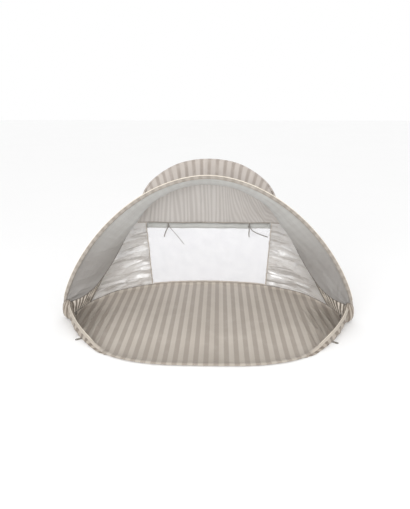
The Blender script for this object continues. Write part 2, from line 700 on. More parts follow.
def arch_stripe(distance):
    """Stripe coordinate from the distance along the front arch, measured from its middle."""
    return (distance + 7) / ARCH_PITCH + .5


def floor_param(t):
    return np.interp(t, PAIRS[:, 0], PAIRS[:, 1])


def floor_x(t):
    return spline(REAR_FLOOR, floor_param(t))[..., 0]


def from_right_or_left(t):
    return np.minimum(t, T_END - t)


def sheet_normals(t):
    """Normals of canopy and wall at the rear arch, facing the inside of the shelter."""
    arch, tangent = spline(REAR_ARCH, t), curve_tangent(REAR_ARCH, t)
    inside = np.array([0, 60, 350.0]) - arch
    out = []
    for facing in (FRONT_ARCH_PATH.at(REAR_ARCH_PATH.fraction_at(t)),
                   spline(REAR_FLOOR, floor_param(t))):
        normal = unit(np.cross(tangent, facing - arch))
        out.append(normal * np.where((normal * inside).sum(-1, keepdims=True) < 0, -1, 1))
    return out


def rear_seam(t):
    """Line on the inside of the rear arch sleeve, where canopy and wall are sewn together."""
    canopy, wall_ = sheet_normals(t)
    end = from_right_or_left(t)
    reach = 2 + smooth(end, 0.0, 2.5) * (7.0 + 2.5 * smooth(end, 7.0, 10.0))
    return spline(REAR_ARCH, t) + unit(canopy + wall_) * reach[..., None]


def floor_seam(r):
    """Line on the inside of the rear floor sleeve, where wall and floor are sewn together."""
    hoop = spline(REAR_FLOOR, r)
    up = unit(spline(REAR_ARCH, np.interp(r, PAIRS[:, 1], PAIRS[:, 0])) - hoop)
    inward = -square_to(outward(hoop, True), curve_tangent(REAR_FLOOR, r))
    return hoop + unit(up + inward) * 11.5


def wall_lines(t):
    return rear_seam(t), floor_seam(floor_param(t))


def wall_base(t, v):
    top, foot = wall_lines(t)
    return top + (foot - top) * v[..., None]


def head_v(t):
    """v of the header line above the window."""
    top, foot = wall_lines(t)
    x = spline(REAR_ARCH, t)[..., 0]
    z = HEAD_Z + HEAD_RISE * np.minimum(np.abs(x) / HEAD_HALF, 1) ** 4
    return np.clip((top[..., 2] - z) / (top[..., 2] - foot[..., 2]), 0, 1)


def wall_length(t):
    top, foot = wall_lines(t)
    return np.linalg.norm(foot - top, axis=-1)


def fan_x(x, up):
    """Sideways position of a fold of the upper panel, traced down to the header line."""
    return x + (1.05 * smooth(x, 40, 520) - .30 * smooth(-x, 260, 560)) * up


def wall_relief(t, v):
    """Creases of the rear wall towards the inside. Neighbouring panels share it."""
    side = from_right_or_left(t)
    hand = np.where(t > T_END / 2, 7, 0)
    head, length = head_v(t), wall_length(t)
    base = wall_base(t, v)
    x, z = base[..., 0], base[..., 2]
    drop_head, to_foot, to_arch = (v - head) * length, (1 - v) * length, v * length
    below = smooth(drop_head, -2, 14)
    # Side panels: level folds gathered on the window tape, running out towards the arch.
    away = np.where(side < WINDOW_T, np.maximum(np.abs(x) - 400, 0), 0)
    near = np.where(side < WINDOW_T,
                    (.45 + .55 * fade(away, 130)) * (.30 + .70 * smooth(WINDOW_T - side, 0, .42)),
                    .30 * fade(side - WINDOW_T, .08))
    ends = smooth(drop_head, 0, 40) * smooth(to_foot, 0, 45)
    drop = z + 26 * noise(away / 150 + hand, z / 150, seed=5) + .10 * away
    fold = (19.0 * noise(away / 150 + hand, drop / 36, seed=11)
            + 15.0 * ridge(away / 110 + hand, drop / 52, seed=12)
            + 6.0 * noise(away / 60 + hand, drop / 16, seed=13) * fade(away, 120)
            + 4.0 * ridge(away / 40 + hand, drop / 24, seed=14))
    panel = smooth(side, GUSSET_T, GUSSET_T + .5)
    out = fold * near * ends * below * np.where(side < WINDOW_T, panel, 1.0)
    # Tiny puckers where the side panel is gathered on its tape.
    out = out + (2.4 * noise(z / 6.0, 0, seed=21) * fade(np.abs(side - WINDOW_T), .10)
                 * below * ends)
    # Upper panel: folds that fan up from the header.
    up = np.maximum(-drop_head, 0)
    fold_x = fan_x(x, up)
    fan = (1.5 * noise(fold_x / 15, up / 260, seed=31)
           + 2.2 * noise(fold_x / 38, up / 300, seed=32))
    slant = (3.6 * ridge(fold_x / 60, up / 420, seed=33) * smooth(np.abs(x), 120, 400)
             * (.7 + .3 * np.sign(x)))
    envelope = hump(v / np.maximum(head, 1e-6), .5)
    out = out + (fan + slant) * envelope * smooth(-drop_head, -2, 14)
    # Pull marks along the header, floor and arch seams.
    foot_x = floor_x(t)
    out = out + 1.8 * noise(foot_x / 8, 1.5, seed=41) * fade(np.abs(drop_head), 18)
    for size, row, seed, edge in ((3.4, 2.5, 42, to_foot), (2.2, 3.5, 43, to_arch)):
        out = out + size * noise(foot_x / 12, row, seed) * fade(edge, 26) * smooth(edge, 0, 6)
    # Slack.
    out = out + 7 * hump(v) * smooth(side, GUSSET_T, GUSSET_T + 3)
    # Gusset folds run down towards the corner.
    folds = (2.4 * ridge(side * 2.6 + 1.4 * v + hand, v * 1.2, seed=51)
             + 1.0 * noise(side * 7 + 3 * v, v * 2.0, seed=52))
    return out + (1 - smooth(side, GUSSET_T - .35, GUSSET_T)) * folds * hump(v, 1.3)


def wall(t, v, inner=0.0):
    """Point of the creased rear wall; inner lifts it off the cloth towards the inside."""
    along = wall_base(t + .02, v) - wall_base(t - .02, v)
    down = wall_base(t, v + 1e-3) - wall_base(t, v - 1e-3)
    normal = unit(np.cross(along, down))
    return wall_base(t, v) + normal * (wall_relief(t, v) + inner)[..., None]


def wall_weight(t, v):
    """1 on the arch, 0 on the floor, with a ripple that shows only when the wall folds."""
    ripple = np.sin(2 * math.pi * (v * 5.0 + .35 * np.sin(t * .9)))
    return np.clip(1 - v, 0, 1) + .026 * ripple * hump(v)


def wall_grid(t, top, foot, rows):
    """Grids of t and v, with rows steps from v = top to v = foot."""
    top, foot = (np.broadcast_to(edge, t.shape)[:, None] for edge in (top, foot))
    return np.repeat(t[:, None], rows, 1), top + (foot - top) * np.linspace(0, 1, rows)


def wall_uv(grid):
    """Metres across and down."""
    across = np.repeat(lengths(grid[:, -1])[:, None], grid.shape[1], 1)
    return np.stack([across, lengths(grid.swapaxes(0, 1)).T], -1) / 1000


def wall_stitches(t, v, inner, step):
    points = wall(t, v, inner)
    return stitches(points, unit(wall(t, v, inner + 5) - points), step,
                    weight=wall_weight(t, v))


WALL_BODIES = "rear_floor", "rear_arch"


def add_wall(name, t, v, materials, stripe=None, thick=1.0, slots=(1, 0, 0), inner=0.0,
             uv=None, rows=()):
    points = wall(t, v, inner)
    sheet = shell(points, thick, floor_stripe(floor_x(t)) if stripe is None else stripe,
                  wall_uv(points) if uv is None else uv, wall_weight(t, v), slots)
    add(name, merge(sheet, *rows), materials, WALL_BODIES)


# ----------------------------------------------------------------------------
# Rear wall pieces
# ----------------------------------------------------------------------------
def upper_panel():
    t = np.linspace(7.45, 20.55, 250)
    t, v = wall_grid(t, 0, np.maximum(head_v(t), .004), rows=64)
    x = wall_base(t, v)[..., 0]
    stripe = (fan_x(x, (head_v(t) - v) * wall_length(t)) / 31.0
              + .55 * noise(x / 60, v * 2, seed=34) + .25 * noise(x / 24, v * 3, seed=35))
    add_wall("rear_upper_panel", t, v, [CANOPY, UPPER_LINING], stripe)


def side_panel(word, first, last):
    t = np.linspace(first, last, 130)
    t, v = wall_grid(t, head_v(t), 1, rows=190)
    add_wall("rear_side_panel_" + word, t, v, [CANOPY, SIDE_LINING])


def gusset(word, first, last, seam_t):
    t, v = wall_grid(np.linspace(first, last, 150), 0, 1, rows=46)
    # The stripes run level with the seam to the side panel.
    top, foot = wall_lines(seam_t)
    base, seam = wall_base(t, v), foot - top
    across = unit(np.cross(np.cross(seam, base[75, 23] - top), seam))
    stripe = ((base - top) * across).sum(-1) / 25.0 + .10 * noise(v * 3, t * 2, seed=61)
    add_wall("gusset_" + word, t, v, [GUSSET, GUSSET], stripe)


def window_mesh():
    t = np.linspace(WINDOW_T, T_END - WINDOW_T, 180)
    t, v = wall_grid(t, head_v(t), 1, rows=110)
    add_wall("window_mesh", t, v, [NET, NET], thick=.5)


def window_tape(word, middle):
    """Upright ruffled tape along one side of the window."""
    t = middle + np.linspace(-.045, .045, 7)
    t, v = wall_grid(t, head_v(t), .995, rows=260)
    down = v * wall_length(t)
    rows = []
    for offset in (-.026, .026):
        row_t = np.full(200, middle + offset)
        head = head_v(row_t)
        row_v = head + (.985 - head) * np.linspace(.01, 1, 200)
        rows.append(wall_stitches(row_t, row_v, inner=3.0, step=6.0))
    add_wall("window_tape_" + word, t, v, [PALE, THREAD], slots=(0, 0, 0),
             inner=2.0 + 1.1 * noise(down / 5.5, t * 3, seed=71),
             uv=np.stack([down / 1000, (t - middle) * .1], -1), rows=rows)


def level_tape(name, t, line_v, edges, rows, ruffle, materials):
    """Tape along v = line_v; edges and rows are distances below that line.

    ruffle: height, scale along t, scale along v, seed.
    """
    height, scale_t, scale_v, seed = ruffle
    length = wall_length(t)
    t_grid = np.repeat(t[:, None], 6, 1)
    v_grid = np.broadcast_to(line_v, t.shape)[:, None] + np.linspace(*edges, 6) / length[:, None]
    add_wall(name, t_grid, v_grid, materials, slots=(0, 0, 0),
             inner=1.6 + height * noise(t_grid * scale_t, v_grid * scale_v, seed),
             rows=[wall_stitches(t, line_v + row / length, inner=2.4, step=6.5)
                   for row in rows])


upper_panel()
side_panel("right", GUSSET_T, WINDOW_T)
gusset("right", .45, GUSSET_T, seam_t=GUSSET_T)
side_panel("left", T_END - WINDOW_T, T_END - GUSSET_T)
gusset("left", T_END - GUSSET_T, T_END - .45, seam_t=T_END - GUSSET_T)
window_mesh()
window_tape("right", WINDOW_T)
window_tape("left", T_END - WINDOW_T)
header_t = np.linspace(8.3, 19.7, 420)
level_tape("window_header_tape", header_t, head_v(header_t), edges=(-4.5, 4.5), rows=(-3, 3),
           ruffle=(.8, 9, 40, 72), materials=[TAUPE, DARK_THREAD])
level_tape("window_hem", np.linspace(WINDOW_T + .1, T_END - WINDOW_T - .1, 360), 1,
           edges=(-16, -2), rows=(-5, -13), ruffle=(1.0, 11, 30, 73), materials=[PALE, THREAD])


# ----------------------------------------------------------------------------
# Rolled window flap and its two ties
# ----------------------------------------------------------------------------
def roll_axis(t):
    """Points of the roll's axis and their v."""
    v = head_v(t) + (ROLL_RADIUS + 3) / wall_length(t)
    return wall_base(t, v) + np.array([0, -1, -.2]) * (ROLL_RADIUS + 5), v


def flap_roll():
    t = np.linspace(WINDOW_T + .22, T_END - WINDOW_T - .22, 340)
    points, v = roll_axis(t)
    points = points + np.stack([0 * t, 1.2 * noise(t * 2.2, 0, seed=81),
                                2.2 * noise(t * 1.7, 4, seed=82)], -1)
    _, out, up = frames(points, True)

    def near_ties(width):
        return bell(t - TIE_T, width) + bell(t - T_END + TIE_T, width)

    pinch, gathered = 1 - .20 * near_ties(.10), near_ties(.35)

    def shape(i, angle):
        spiral = 1 + .13 * ((angle + 1.1 * math.pi) % (2 * math.pi)) / (2 * math.pi)
        uneven = (.05 * noise(t[i] * 4.5, angle * 1.6, seed=83)
                  + .035 * noise(t[i] * 13, angle * 2.6, seed=84)
                  + .06 * gathered[i] * noise(angle * 3.2, t[i] * 3, seed=85))
        return (spiral + uneven) * pinch[i]

    body = tube(points, out, up, ROLL_DEPTH, ROLL_HEIGHT, around=44, power=2.2,
                stripe=floor_stripe(points[:, 0]), weight=wall_weight(t, v), cap_in=-2.0,
                shape=shape)
    add("window_flap_roll", body, [ROLL], WALL_BODIES)


def ribbon(points, width, twist, stations=54, thick=1.3):
    """Flat strap along a smooth line through points, facing the front."""
    points = np.array(points, float)
    points = spline(points, np.linspace(0, len(points) - 1, stations))
    tangent = unit(np.gradient(points, axis=0))
    side = unit(np.cross(tangent, unit(np.array([0, -1, -.2]))))
    up = np.cross(side, tangent)
    turn = np.linspace(0, twist, stations)[:, None]
    side, up = side * np.cos(turn) + up * np.sin(turn), up * np.cos(turn) - side * np.sin(turn)
    return tube(points, side, up, width / 2, thick / 2, around=12, power=4.0)


def window_points():
    t = np.linspace(WINDOW_T, T_END - WINDOW_T, 90)
    return wall(*wall_grid(t, head_v(t), 1, rows=70)).reshape(-1, 3)


def before_window(point, cloth, gap=10):
    """Bring a point in front of the window cloth if it would lie behind it."""
    off = (cloth[:, 0] - point[0]) ** 2 + (cloth[:, 2] - point[2]) ** 2
    return np.array([point[0], min(point[1], cloth[np.argmin(off)][1] - gap), point[2]])


# Cross section of the band round the roll: offset along the roll, height off it.
BAND = (-5.5, 0), (-5.5, 1.1), (-4, 1.5), (4, 1.5), (5.5, 1.1), (5.5, 0)
# Knot loops: offset x, offset z, phase, tilt.
KNOT = (0, 1, 0.0, .35), (1.5, -1.5, 1.3, -.5)
# Tails of each tie: three x, z offsets from the knot, strap width.
TAILS = {"left": (((-15, -26), (-28, -54), (-36, -84), 8.5),
                  ((34, -42), (76, -96), (120, -156), 4.4)),
         "right": (((3, -30), (0, -56), (4, -84), 8.5),
                   ((36, -34), (88, -54), (150, -70), 7.5))}


def band(centre, along, rear, up, around=72):
    angle = np.linspace(0, 2 * math.pi, around, endpoint=False)
    ring = (centre + rear * np.cos(angle)[:, None] * (ROLL_DEPTH * .93)
            + up * np.sin(angle)[:, None] * (ROLL_HEIGHT * .93))
    normal = unit(ring - centre)
    verts, faces, uv = [], [], []
    count = len(BAND)
    for i in range(around):
        for j, (offset, height) in enumerate(BAND):
            verts.append(ring[i] + along * (offset + .5 * math.sin(angle[i] * 3))
                         + normal[i] * height)
            uv.append((angle[i] * ROLL_RADIUS / 1000, offset / 1000))
            i2, j2 = (i + 1) % around, (j + 1) % count
            faces.append([i * count + j, i2 * count + j, i2 * count + j2, i * count + j2])
    return piece(verts, faces, uv=uv)


def flap_tie(word, t, cloth):
    centre, v = roll_axis(t)
    along = unit((centre - roll_axis(t + .05)[0]) * np.array([1, 1, 0]))
    if along[0] < 0:
        along = -along
    up = np.array([0, 0, 1.0])
    rear = np.cross(up, along)
    parts = [band(centre, along, rear, up)]
    front = centre - rear * (ROLL_RADIUS * .9 + 1.5)
    turn = np.linspace(0, 2 * math.pi, 48, endpoint=False)
    for offset_x, offset_z, phase, tilt in KNOT:
        x, z = 6.5 * np.cos(turn) + offset_x, 4.4 * np.sin(turn) + offset_z
        y = 2.2 * np.sin(2 * turn + phase) - 3.2
        c, s = math.cos(tilt), math.sin(tilt)
        loop = np.stack([x * c - z * s, y, x * s + z * c], -1)
        points = front + np.vstack([loop, loop[:1]]) @ np.stack([along, rear, up])
        tangent = unit(np.gradient(points, axis=0))
        side = unit(np.cross(tangent, unit(points - (front - rear * 3) + 1e-6)))
        parts.append(tube(points, side, -np.cross(tangent, side), 2.6, 1.5, around=10,
                          power=2.6))
    for q, (*offsets, width) in enumerate(TAILS[word]):
        first_x, first_z = offsets[0]
        points = [front + rear * -2.5,
                  front + along * (first_x * .35) + rear * -4.5 + up * (first_z * .35)]
        for x, z in offsets:
            y = -5.0 - 2.5 * q + z * -.015
            points.append(before_window(front + along * x + rear * y + up * z, cloth))
        parts.append(ribbon(points, width, twist=.5 if q else -.35))
    body = merge(*parts)
    body["weight"] = np.full(len(body["verts"]), float(wall_weight(t, v)))
    add("flap_tie_" + word, body, [TIE], WALL_BODIES)


flap_roll()
window_cloth = window_points()
flap_tie("left", T_END - TIE_T, window_cloth)
flap_tie("right", TIE_T, window_cloth)


# ----------------------------------------------------------------------------
# Canopy. f is the length fraction of the arches; v runs from front arch to rear.
# ----------------------------------------------------------------------------
def crown(f):
    """1 over the top of the arches, 0 down their sides."""
    return smooth(np.minimum(f, 1 - f), .26, .40)


def canopy_base(f, v):
    front = FRONT_ARCH_PATH.at(f)
    t = REAR_ARCH_PATH.param_at(f)
    rear = spline(REAR_ARCH, t)
    out = square_to(outward(rear, False), curve_tangent(REAR_ARCH, t))
    over = rear + out * 10.0 + unit(front - rear) * 5.0
    top = crown(f)[..., None]
    last = rear_seam(t) * (1 - top) + over * top
    span = np.linalg.norm(last - front, axis=-1, keepdims=True)
    first = front + (last - front) / span * np.minimum(9.0, .3 * span)
    middle = (first + last) / 2
    inward = unit(np.stack([-middle[..., 0], 0 * f, CROSS_Z - middle[..., 2]], -1))
    fullness = hump(f, .8) * (.25 + .75 * smooth(np.minimum(f, 1 - f), .07, .27))
    sag = (CANOPY_SAG * fullness * 4 * v * (1 - v)
           * np.minimum(np.linalg.norm(last - first, axis=-1) / 340, 1))
    return first + (last - first) * v[..., None] + inward * sag[..., None]


def canopy_relief(f, v):
    run = f * FRONT_ARCH_PATH.length
    end = np.minimum(f, 1 - f)
    gap = np.linalg.norm(canopy_base(f, v * 0 + 1) - canopy_base(f, v * 0), axis=-1)
    # Puckers along the front and rear edges.
    out = 0
    for size, pitch, row, seed, edge, reach in ((1.5, 15, .5, 91, v * gap, 26),
                                                (1.8, 17, 1.5, 92, (1 - v) * gap, 30)):
        out = out + size * noise(run / pitch, row, seed) * fade(edge, reach) * smooth(edge, 0, 5)
    # Broad folds, fine level folds down the sides, and crowded folds low down.
    broad = (1.8 * noise(run / 40, v * 1.6, seed=93)
             + 2.8 * noise(run / 120 + v * 1.2, v * 1.2, seed=94)
             + 1.6 * ridge((run + 90 * v) / 74, v, seed=98))
    sides = (1 - smooth(end, .30, .46)) * 2.2 * noise(run / 420, v * 7.0, seed=99)
    low = (1 - smooth(end, .05, .30)) * (3.0 * ridge((run + 160 * v) / 64, v * .8, seed=95)
                                         + 1.5 * noise((run + 200 * v) / 22, v, seed=96))
    return out + hump(v, .7) * (broad + sides + low)


def canopy():
    f = np.linspace(.014, .986, 520)
    f = .5 + (f - .5) * (1 + .02 * (1 - (2 * f - 1) ** 2))
    f, v = np.meshgrid(f, np.linspace(0, 1, 76), indexing="ij")
    points = canopy_base(f, v)
    points = points + grid_normal(points) * canopy_relief(f, v)[..., None]
    run = (f - .5) * FRONT_ARCH_PATH.length
    body = shell(points, 1.0, arch_stripe(run) + .10 * noise(run / 90, v * 2, seed=97),
                 np.stack([run / 1000, v * .36], -1), v, slots=(1, 0, 0))
    add("canopy", body, [CANOPY, LINING], ("front_arch", "rear_arch"))


canopy()


# ----------------------------------------------------------------------------
# Sleeves round the hoops
# ----------------------------------------------------------------------------
def eased_points(path, f):
    points = path.at(f)
    for _ in range(3):
        points[1:-1] = (points[:-2] + 2 * points[1:-1] + points[2:]) / 4
    return points


def sleeve(name, path, hoop, materials, stripe, seed, flat=False, half_out=13.5, half_side=7.6,
           seam_at=math.pi, extra=(), pick=None, tuck=None):
    """Gathered sleeve with a seam groove at angle seam_at and a row of stitches each side.

    The angle starts at straight outward. pick(x, angle) gives the material of each face, with
    angle in degrees, positive towards +Y. tuck(rings, f) moves the finished rings.
    """
    n, around, power = 900, 24, 2.3
    f = np.linspace(.004, .996, n)
    points = eased_points(path, f)
    tangent, out, side = frames(points, flat)
    run = f * path.length
    end = np.minimum(run, path.length - run)
    half_out = np.broadcast_to(half_out, (n,))
    half_side = np.broadcast_to(half_side, (n,))
    width = (half_side + 1.5) + (half_out - half_side - 1.5) * smooth(end, 10, 190)

    def shape(i, angle):
        at = run[i]
        gather = 1 - smooth(end[i], 20, 240)
        uneven = (.030 * noise(at / 13, angle * 1.1, 101 + seed)
                  + .035 * noise(at / 47, angle * .8, 102 + seed)
                  + gather * (.07 * np.sin(angle * 7 + 3 * noise(at / 60, 0, 104 + seed))
                              + .05 * noise(at / 9, angle * 1.3, 103 + seed)))
        off_seam = np.abs((angle - seam_at + math.pi) % (2 * math.pi) - math.pi)
        return 1 + uneven - .16 * bell(off_seam, .20)

    body = tube(points, out, side, width, half_side, around, power,
                stripe=stripe(points[:, 0], f), shape=shape, cap_in=-1.0)
    if tuck is not None:
        rings = body["verts"][:n * around].reshape(n, around, 3)
        body["verts"][:n * around] = tuck(rings, f).reshape(-1, 3)
    if pick is not None:
        angle = (np.arange(around) + .5) * 2 * math.pi / around
        angle = np.degrees((angle + math.pi) % (2 * math.pi) - math.pi)
        angle = angle * np.where(side[:-1, 1:2] > 0, 1, -1)
        chosen = np.broadcast_to(pick(points[:-1, :1], angle), (n - 1, around)).ravel()
        body["slots"][:len(chosen)] = chosen.tolist()
    rows = []
    keep = slice(int(n * .02), int(n * .98))
    for offset in (-.34, .34):
        c, s = math.cos(seam_at + offset), math.sin(seam_at + offset)
        line = (points + out * (width * signed_power(c, 2 / power))[:, None]
                + side * (half_side * signed_power(s, 2 / power))[:, None])
        up = unit(out * (c / half_out)[:, None] + side * (s / half_side)[:, None])
        rows.append(stitches(line[keep], up[keep], 6.5, along=tangent[keep], lift=.5))
    add(name, merge(body, *rows, *extra), materials, hoop)


def arch_sleeve_stripe(x, f):
    return arch_stripe((f - .5) * FRONT_ARCH_PATH.length)


def tuck_rear_arch(rings, f):
    """Keep the rear arch sleeve behind the two sheets that are sewn along its inside."""
    t = REAR_ARCH_PATH.param_at(f)
    seam = rear_seam(t)
    canopy_normal, wall_normal = sheet_normals(t)
    for normal, share in ((wall_normal, f * 0 + 1), (canopy_normal, 1 - crown(f))):
        room = -((REAR_ARCH_PATH.at(f) - seam) * normal).sum(-1)
        depth = np.clip(room - 4.0, 1.5, 10.0)[:, None]
        over = np.maximum(((rings - seam[:, None]) * normal[:, None]).sum(-1) + depth, 0)
        rings = rings - normal[:, None] * (over * share[:, None])[..., None]
    return rings


def raised_part(x):
    """1 at the raised corners of the front floor hoop, 0 along its middle."""
    return smooth(np.abs(x), 640, 760)


def front_floor_cord(points):
    """Light cord along the inner upper edge of the corners, sinking into the rim between."""
    tangent, out, side = frames(points, True)
    up = side * np.where(side[:, 2:3] < 0, -1, 1)
    raised = raised_part(points[:, :1])
    line = (points - out * (6.6 * raised + 8.0 * (1 - raised))
            + up * (5.6 * raised - 1.5 * (1 - raised)))
    normal = unit(up - out * .8)
    across = np.cross(tangent, normal)
    facing = (np.cross(tangent, across) * normal).sum(-1, keepdims=True)
    return tube(line, across, normal * np.where(facing < 0, -1, 1), 2.1, 2.1, around=10, slot=2,
                shape=lumps(cord_f * FRONT_FLOOR_PATH.length / 8, .08, seed=111))


def front_arch_piping():
    f = np.linspace(.02, .98, 900)
    points = FRONT_ARCH_PATH.at(f)
    tangent, out, side = frames(points, False)
    forward = np.where(side[:, 1:2] > 0, -1, 1) * side
    angle = .5   # from straight outward towards the front
    line = points + out * (13.2 * math.cos(angle)) + forward * (8.2 * math.sin(angle) + .8)
    radius = 1.7 + 1.1 * smooth(np.minimum(f, 1 - f), .18, .42)
    body = tube(line, out, np.cross(tangent, out), radius, radius, around=12,
                shape=lumps(f * FRONT_ARCH_PATH.length / 9, .08, seed=121))
    add("front_arch_piping", body, [CREAM], "front_arch")


sleeve("front_arch_sleeve", FRONT_ARCH_PATH, "front_arch", [CANOPY, THREAD, CREAM, EDGE, LINING],
       arch_sleeve_stripe, seed=1,
       pick=lambda x, angle: np.where((angle < -32) | (angle > 125), 3, 0))
sleeve("rear_arch_sleeve", REAR_ARCH_PATH, "rear_arch",
       [RIM, DARK_THREAD, SLEEVE_INSIDE, CANOPY], arch_sleeve_stripe, seed=2,
       pick=lambda x, angle: np.where(np.abs(angle) > 104, 2, np.where(angle < 22, 3, 0)),
       tuck=tuck_rear_arch)
sleeve("rear_floor_sleeve", REAR_FLOOR_PATH, "rear_floor", [EDGE, THREAD],
       lambda x, f: floor_stripe(x) + .35 * smooth(np.abs(x), 880, 1000), seed=3, flat=True,
       half_side=7.4)
cord_f = np.linspace(.006, .994, 900)
cord_points = eased_points(FRONT_FLOOR_PATH, cord_f)
cord_raised = raised_part(cord_points[:, 0])
sleeve("front_floor_binding", FRONT_FLOOR_PATH, "front_floor",
       [FRONT_RIM, THREAD, CREAM, BINDING], lambda x, f: floor_stripe(x), seed=4, flat=True,
       half_out=12.5 - 3.0 * cord_raised, half_side=7.0 - 1.0 * cord_raised, seam_at=.45,
       extra=[front_floor_cord(cord_points)],
       pick=lambda x, angle: np.where(np.abs(x) > 655, 3, 0))
front_arch_piping()

# ----------------------------------------------------------------------------
# Floor cloth and corner skirts
# ----------------------------------------------------------------------------
FLOOR_BODIES = "rear_floor", "front_floor"


def floor_fold(y):
    """Blend weight of the floor: 0 behind the crossing line, 1 in front of it."""
    return 1 - smooth(y, -72, 52)


def floor_z(x, y, y_front, y_rear, z_rear):
    """Height of the floor cloth: flat on the ground, rising at its edges, with creases."""
    far = np.abs(x)
    front, rear = y - y_front, y_rear - y
    z = (1.6 + 7.0 * (1 - smooth(front, 0, 46)) * (1 - smooth(far, 560, 660))
         + (z_rear - 1.6) * (1 - smooth(rear, 0, 42)) ** 1.5)
    creases = (1.8 * (noise(x / 24, y / 210, seed=131) * .5 + .5)
               + 1.5 * (noise(x / 70, y / 330, seed=132) * .5 + .5))
    z = z + creases * smooth(front, 0, 40) * smooth(rear, 0, 30)
    # Pull marks at the rear seam.
    z = z + 2.2 * np.clip(noise(x / 15, .5, seed=133), 0, 1) * bell(rear - 22, 22)
    # Standing folds in the front corners.
    corner = (smooth(far, 600, 800) * (1 - smooth(y, 60, 260)) * smooth(rear, 0, 60)
              * smooth(front, 0, 26))
    folds = np.clip(ridge(far / 46 + y / 420, y / 500, seed=134), 0, 1) ** 1.3
    return z + corner * (20 * folds + 6 * np.clip(noise(far / 15, y / 160, seed=135), 0, 1))


def floor_cloth(half_width=955):
    ground = spline(GROUND_HALF, np.linspace(0, len(GROUND_HALF) - 1, 900))
    ground = ground[np.argsort(ground[:, 0])]
    seam = floor_seam(np.linspace(2.6, 12, 1200))
    seam = seam[np.argsort(seam[:, 0])]
    # Columns crowd towards the sides, rows towards the front and rear.
    u = np.linspace(-1, 1, 361)
    x = half_width * (.35 * np.sin(u * math.pi / 2) + .65 * u)[:, None]
    y_front = np.interp(np.abs(x), ground[:, 0], ground[:, 1])
    y_rear, z_rear = (np.interp(np.abs(x), seam[:, 0], seam[:, k]) for k in (1, 2))
    s = np.linspace(0, 1, 130)
    s = .5 - .3 * np.cos(s * math.pi) - .2 * (1 - 2 * s)
    y = y_front + (y_rear - y_front) * s
    x = np.repeat(x, len(s), 1)
    points = np.stack([x, y, floor_z(x, y, y_front, y_rear, z_rear)], -1)
    body = shell(points, 1.0, floor_stripe(x), points[..., :2] / 1000, floor_fold(y))
    add("floor_cloth", body, [FLOOR, UNDERSIDE], FLOOR_BODIES,
        replaces=("rear_floor_panel", "front_floor_panel"))


def corner_skirts(columns=260, rows=34):
    """Upright cloth between the ground outline and the hoops at each front corner."""
    foot = spline(GROUND_HALF, np.linspace(8.75, .05, columns))
    foot[:, 2] = 1.6
    foot = Path(foot)
    # Head: up the front hoop to the crossing, then down the rear floor hoop.
    front = spline(FRONT_FLOOR_HALF, np.linspace(8.35, .25, 400))
    rear = spline(REAR_FLOOR_HALF, np.linspace(.30, 2.95, 120))
    head = Path(np.vstack([front, rear]))
    front_share = lengths(front)[-1] / head.length
    f = np.linspace(0, 1, columns)
    head_f = np.interp(f, [0, .25, .5, .75, .93, 1.0],
                       [front_share * k for k in (0, .26, .53, .80, 1.0)] + [1.0])
    bottom, top = foot.at(f), head.at(head_f)
    rise = np.linalg.norm(top - bottom, axis=-1)[:, None]
    top = top - unit(top - bottom) * np.minimum(6, .3 * rise)
    height = np.linalg.norm(top - bottom, axis=-1)[:, None]
    v = np.linspace(0, 1, rows)[None]
    run = f[:, None] * foot.length
    belly = np.minimum(height, 60) * .22 * hump(v, .8)
    folds = np.minimum(height, 50) * .10 * hump(v, .6) * (
        ridge(run / 36, v * .9, seed=141) + .5 * noise(run / 13, v * 1.5, seed=142))
    # Held flat where the peg loop is stitched on.
    flat = 1 - bell(np.hypot(bottom[:, 0] - 819, bottom[:, 1] + 318), 46)[:, None]
    points = (bottom[:, None] + (top - bottom)[:, None] * v[..., None]
              + unit(outward(bottom, True))[:, None] * ((belly + folds) * flat)[..., None])
    points[..., 2] = np.maximum(points[..., 2], 1.2)
    on_front = np.where(head_f <= front_share, 1.0, 0.0)[:, None]
    weight = floor_fold(bottom[:, 1:2]) * (1 - v) + on_front * v
    stripe = floor_stripe(bottom[:, :1]) + run / 150 + 0 * v
    uv = np.stack([np.repeat(run, rows, 1), v * height], -1) / 1000
    for word in ("right", "left"):
        if word == "left":
            points = (points * [-1, 1, 1])[::-1]
            weight, stripe = weight[::-1], stripe[::-1]
        add("corner_skirt_" + word, shell(points, 1.2, stripe, uv, weight, slots=(0, 0, 0)),
            [SKIRT], FLOOR_BODIES)


floor_cloth()
corner_skirts()


